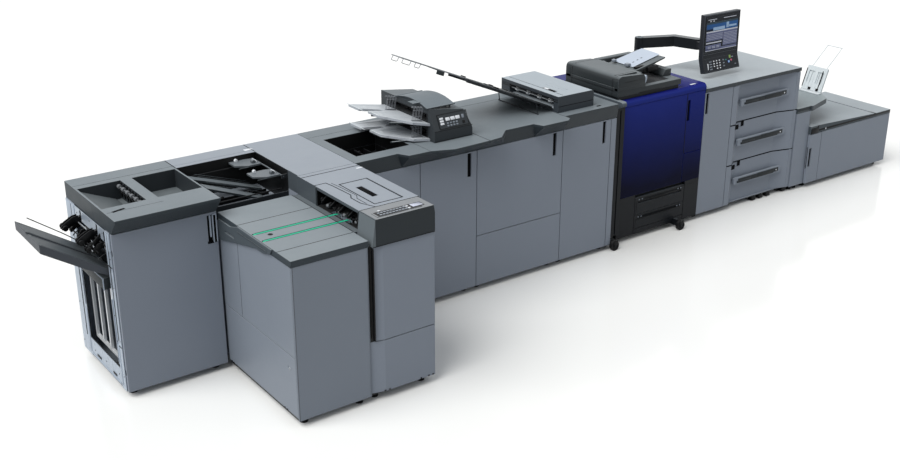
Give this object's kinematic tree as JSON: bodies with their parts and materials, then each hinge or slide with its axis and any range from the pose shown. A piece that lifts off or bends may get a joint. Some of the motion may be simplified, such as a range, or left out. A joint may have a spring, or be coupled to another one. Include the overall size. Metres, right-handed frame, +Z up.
{
  "type": "digital production printer",
  "caption": "Production printing row: colour engine with document feeder and panel, paper feeder, low paper unit, relay, stacker, folder, inserter, booklet maker and stapling finisher.",
  "frame": {"origin": "centre of the plan of the row of cabinets, on the floor", "axes": "+X along the row from the stacking tray to the low paper unit, +Y from the fronts to the backs, +Z up"},
  "size_m": [6.837, 1.603, 1.5213],
  "materials": {
    "painted_light": "satin",
    "light_plastic": "satin",
    "grey_cover": "fine grain",
    "dark_plastic": "fine grain",
    "dark_frame": "satin",
    "black_plastic": "satin",
    "steel": "brushed",
    "blue_gloss": "gloss",
    "green_belt": "matte",
    "white_roller": "matte",
    "wheel_black": "matte"
  },
  "bodies": {
    "row": {"finisher_cabinet": "painted_light", "finisher_top_cover": "grey_cover", "tray_lift_frame": "steel", "bridge_cabinet": "painted_light", "stitcher_cabinet": "painted_light", "stitcher_console": "dark_plastic", "table_cabinet": "painted_light", "table_top": "grey_cover", "conveyor_belts": "green_belt", "folder_cabinet": "painted_light", "folder_top_cover": "grey_cover", "inserter_body": "light_plastic", "inserter_trays": "light_plastic", "stacker_cabinet": "painted_light", "stacker_top_cover": "grey_cover", "relay_cabinet": "painted_light", "banner_unit": "grey_cover", "engine_frame": "dark_frame", "engine_covers": "blue_gloss", "imaging_units": "dark_plastic", "feeder_cabinet": "painted_light", "bypass_unit": "painted_light", "large_unit_cabinet": "painted_light", "levelling_feet": "black_plastic"},
    "finisher_door": {"finisher_door": "light_plastic"},
    "stack_tray": {"stack_tray": "dark_plastic"},
    "hold_down_arm": {"hold_down_arm": "black_plastic"},
    "pit_exit_rollers": {"pit_exit_rollers": "white_roller"},
    "bridge_guide_arms": {"bridge_guide_arms": "steel"},
    "stitcher_jam_cover": {"stitcher_jam_cover": "grey_cover"},
    "stitcher_door": {"stitcher_door": "light_plastic"},
    "belt_drive_shaft": {"belt_drive_shaft": "steel"},
    "side_flap": {"side_flap": "grey_cover"},
    "folder_door": {"folder_door": "light_plastic"},
    "inserter_lid": {"inserter_lid": "grey_cover"},
    "front_sheet_guides": {"front_sheet_guides": "light_plastic"},
    "rear_sheet_guides": {"rear_sheet_guides": "light_plastic"},
    "stacker_door": {"stacker_door": "light_plastic"},
    "relay_door": {"relay_door": "light_plastic"},
    "banner_rollers": {"banner_rollers": "white_roller"},
    "banner_tray": {"banner_tray": "dark_plastic"},
    "banner_wire": {"banner_wire": "steel"},
    "engine_main_door": {"engine_main_door": "blue_gloss"},
    "toner_door": {"toner_door": "blue_gloss"},
    "upper_cassette": {"upper_cassette": "dark_plastic"},
    "lower_cassette": {"lower_cassette": "dark_plastic"},
    "left_caster_wheels": {"left_caster_wheels": "wheel_black"},
    "right_caster_wheels": {"right_caster_wheels": "wheel_black"},
    "document_feeder": {"document_feeder": "dark_plastic"},
    "feed_cover": {"feed_cover": "dark_plastic"},
    "panel_arm": {"panel_arm": "black_plastic"},
    "operation_panel": {"operation_panel": "black_plastic"},
    "start_key": {"start_key": "blue_gloss"},
    "feeder_door": {"feeder_door": "light_plastic"},
    "top_drawer": {"top_drawer": "light_plastic"},
    "middle_drawer": {"middle_drawer": "light_plastic"},
    "bottom_drawer": {"bottom_drawer": "light_plastic"},
    "bypass_tray": {"bypass_tray": "light_plastic"},
    "large_unit_lid": {"large_unit_lid": "grey_cover"},
    "large_unit_door": {"large_unit_door": "light_plastic"}
  },
  "joints": [
    {"name": "finisher_door_hinge", "type": "hinge", "parent": "row", "child": "finisher_door", "pos_m": [-3.08, 0.0045, 0.5], "axis": [0, 0, -1], "range_deg": [0, 95]},
    {"name": "stack_tray_lift", "type": "slide", "parent": "row", "child": "stack_tray", "axis": [0, 0, 1], "range_m": [-0.42, 0.02]},
    {"name": "hold_down_arm_hinge", "type": "hinge", "parent": "row", "child": "hold_down_arm", "pos_m": [-3.0745, 0.3005, 0.908], "axis": [0, 1, 0], "range_deg": [0, 40]},
    {"name": "pit_exit_spin", "type": "hinge", "parent": "row", "child": "pit_exit_rollers", "pos_m": [-2.8545, 0.3085, 1.017], "axis": [0, 1, 0], "continuous": true},
    {"name": "guide_arms_hinge", "type": "hinge", "parent": "row", "child": "bridge_guide_arms", "pos_m": [-2.0435, 0.3065, 1.006], "axis": [0, 1, 0], "range_deg": [0, 40]},
    {"name": "jam_cover_hinge", "type": "hinge", "parent": "row", "child": "stitcher_jam_cover", "pos_m": [-1.7425, -0.4375, 1.037], "axis": [0, 1, 0], "range_deg": [0, 80]},
    {"name": "stitcher_door_hinge", "type": "hinge", "parent": "row", "child": "stitcher_door", "pos_m": [-1.668, -0.7905, 0.62], "axis": [0, 0, 1], "range_deg": [0, 95]},
    {"name": "belt_drive_spin", "type": "hinge", "parent": "row", "child": "belt_drive_shaft", "pos_m": [-1.9975, -0.4355, 0.917], "axis": [0, 1, 0], "continuous": true},
    {"name": "side_flap_hinge", "type": "hinge", "parent": "row", "child": "side_flap", "pos_m": [-2.5043, -0.3105, 0.9275], "axis": [0, 1, 0], "range_deg": [0, 88]},
    {"name": "folder_door_hinge", "type": "hinge", "parent": "row", "child": "folder_door", "pos_m": [-1.19958, 0.0045, 0.5], "axis": [0, 0, -1], "range_deg": [0, 95]},
    {"name": "inserter_lid_hinge", "type": "hinge", "parent": "row", "child": "inserter_lid", "pos_m": [-0.9035, 0.2515, 1.231], "axis": [0, 1, 0], "range_deg": [0, 22]},
    {"name": "front_guides_slide", "type": "slide", "parent": "row", "child": "front_sheet_guides", "axis": [0, 1, 0], "range_m": [0, 0.12]},
    {"name": "rear_guides_slide", "type": "slide", "parent": "row", "child": "rear_sheet_guides", "axis": [0, 1, 0], "range_m": [-0.12, 0]},
    {"name": "stacker_door_hinge", "type": "hinge", "parent": "row", "child": "stacker_door", "pos_m": [-0.781, 0.0045, 0.66], "axis": [0, 0, -1], "range_deg": [0, 95]},
    {"name": "relay_door_hinge", "type": "hinge", "parent": "row", "child": "relay_door", "pos_m": [-0.095, 0.0045, 0.5], "axis": [0, 0, -1], "range_deg": [0, 95]},
    {"name": "banner_rollers_spin", "type": "hinge", "parent": "row", "child": "banner_rollers", "pos_m": [-0.0765, 0.3315, 1.099], "axis": [0, 1, 0], "continuous": true},
    {"name": "banner_tray_hinge", "type": "hinge", "parent": "row", "child": "banner_tray", "pos_m": [-0.1135, 0.3115, 1.068], "axis": [0, 1, 0], "range_deg": [0, 60]},
    {"name": "banner_wire_slide", "type": "slide", "parent": "banner_tray", "child": "banner_wire", "axis": [-0.9212, 0, 0.3891], "range_m": [-0.1, 0]},
    {"name": "engine_main_door_hinge", "type": "hinge", "parent": "row", "child": "engine_main_door", "pos_m": [0.4565, 0.0455, 0.66], "axis": [0, 0, -1], "range_deg": [0, 95]},
    {"name": "toner_door_hinge", "type": "hinge", "parent": "row", "child": "toner_door", "pos_m": [1.233, 0.0455, 0.76], "axis": [0, 0, 1], "range_deg": [0, 95]},
    {"name": "upper_cassette_slide", "type": "slide", "parent": "row", "child": "upper_cassette", "axis": [0, -1, 0], "range_m": [0, 0.4]},
    {"name": "lower_cassette_slide", "type": "slide", "parent": "row", "child": "lower_cassette", "axis": [0, -1, 0], "range_m": [0, 0.4]},
    {"name": "left_casters_spin", "type": "hinge", "parent": "row", "child": "left_caster_wheels", "pos_m": [0.3795, 0.3655, 0.034], "axis": [0, 1, 0], "continuous": true},
    {"name": "right_casters_spin", "type": "hinge", "parent": "row", "child": "right_caster_wheels", "pos_m": [1.0175, 0.3655, 0.034], "axis": [0, 1, 0], "continuous": true},
    {"name": "document_feeder_hinge", "type": "hinge", "parent": "row", "child": "document_feeder", "pos_m": [0.7085, 0.5855, 1.0623], "axis": [-1, 0, 0], "range_deg": [0, 60]},
    {"name": "feed_cover_hinge", "type": "hinge", "parent": "document_feeder", "child": "feed_cover", "pos_m": [0.4165, 0.3065, 1.1233], "axis": [0, -1, 0], "range_deg": [0, 75]},
    {"name": "panel_arm_swivel", "type": "hinge", "parent": "row", "child": "panel_arm", "pos_m": [1.2065, 0.6865, 1.13], "axis": [0, 0, 1], "range_deg": [-15, 60]},
    {"name": "panel_tilt", "type": "hinge", "parent": "panel_arm", "child": "operation_panel", "pos_m": [1.5165, 0.3465, 1.196], "axis": [1, 0, 0], "range_deg": [-10, 20]},
    {"name": "start_key_press", "type": "slide", "parent": "operation_panel", "child": "start_key", "axis": [0, 0.9514, -0.3078], "range_m": [0, 0.002], "stiffness_N_per_m": 400, "springref_m": -0.001},
    {"name": "feeder_door_hinge", "type": "hinge", "parent": "row", "child": "feeder_door", "pos_m": [1.522, 0.0475, 0.5], "axis": [0, 0, 1], "range_deg": [0, 88]},
    {"name": "top_drawer_slide", "type": "slide", "parent": "row", "child": "top_drawer", "axis": [0, -1, 0], "range_m": [0, 0.45]},
    {"name": "middle_drawer_slide", "type": "slide", "parent": "row", "child": "middle_drawer", "axis": [0, -1, 0], "range_m": [0, 0.45]},
    {"name": "bottom_drawer_slide", "type": "slide", "parent": "row", "child": "bottom_drawer", "axis": [0, -1, 0], "range_m": [0, 0.45]},
    {"name": "bypass_tray_hinge", "type": "hinge", "parent": "row", "child": "bypass_tray", "pos_m": [2.7535, 0.2965, 0.6693], "axis": [0, 1, 0], "range_deg": [0, 60]},
    {"name": "large_unit_lid_hinge", "type": "hinge", "parent": "row", "child": "large_unit_lid", "pos_m": [3.2135, 0.3265, 0.462], "axis": [0, 1, 0], "range_deg": [0, 8]},
    {"name": "large_unit_door_hinge", "type": "hinge", "parent": "row", "child": "large_unit_door", "pos_m": [2.5525, 0.0145, 0.24], "axis": [0, 0, 1], "range_deg": [0, 95]}
  ],
  "couplings": [
    {"joint": "rear_guides_slide", "follows": "front_guides_slide", "ratio": -1}
  ]
}
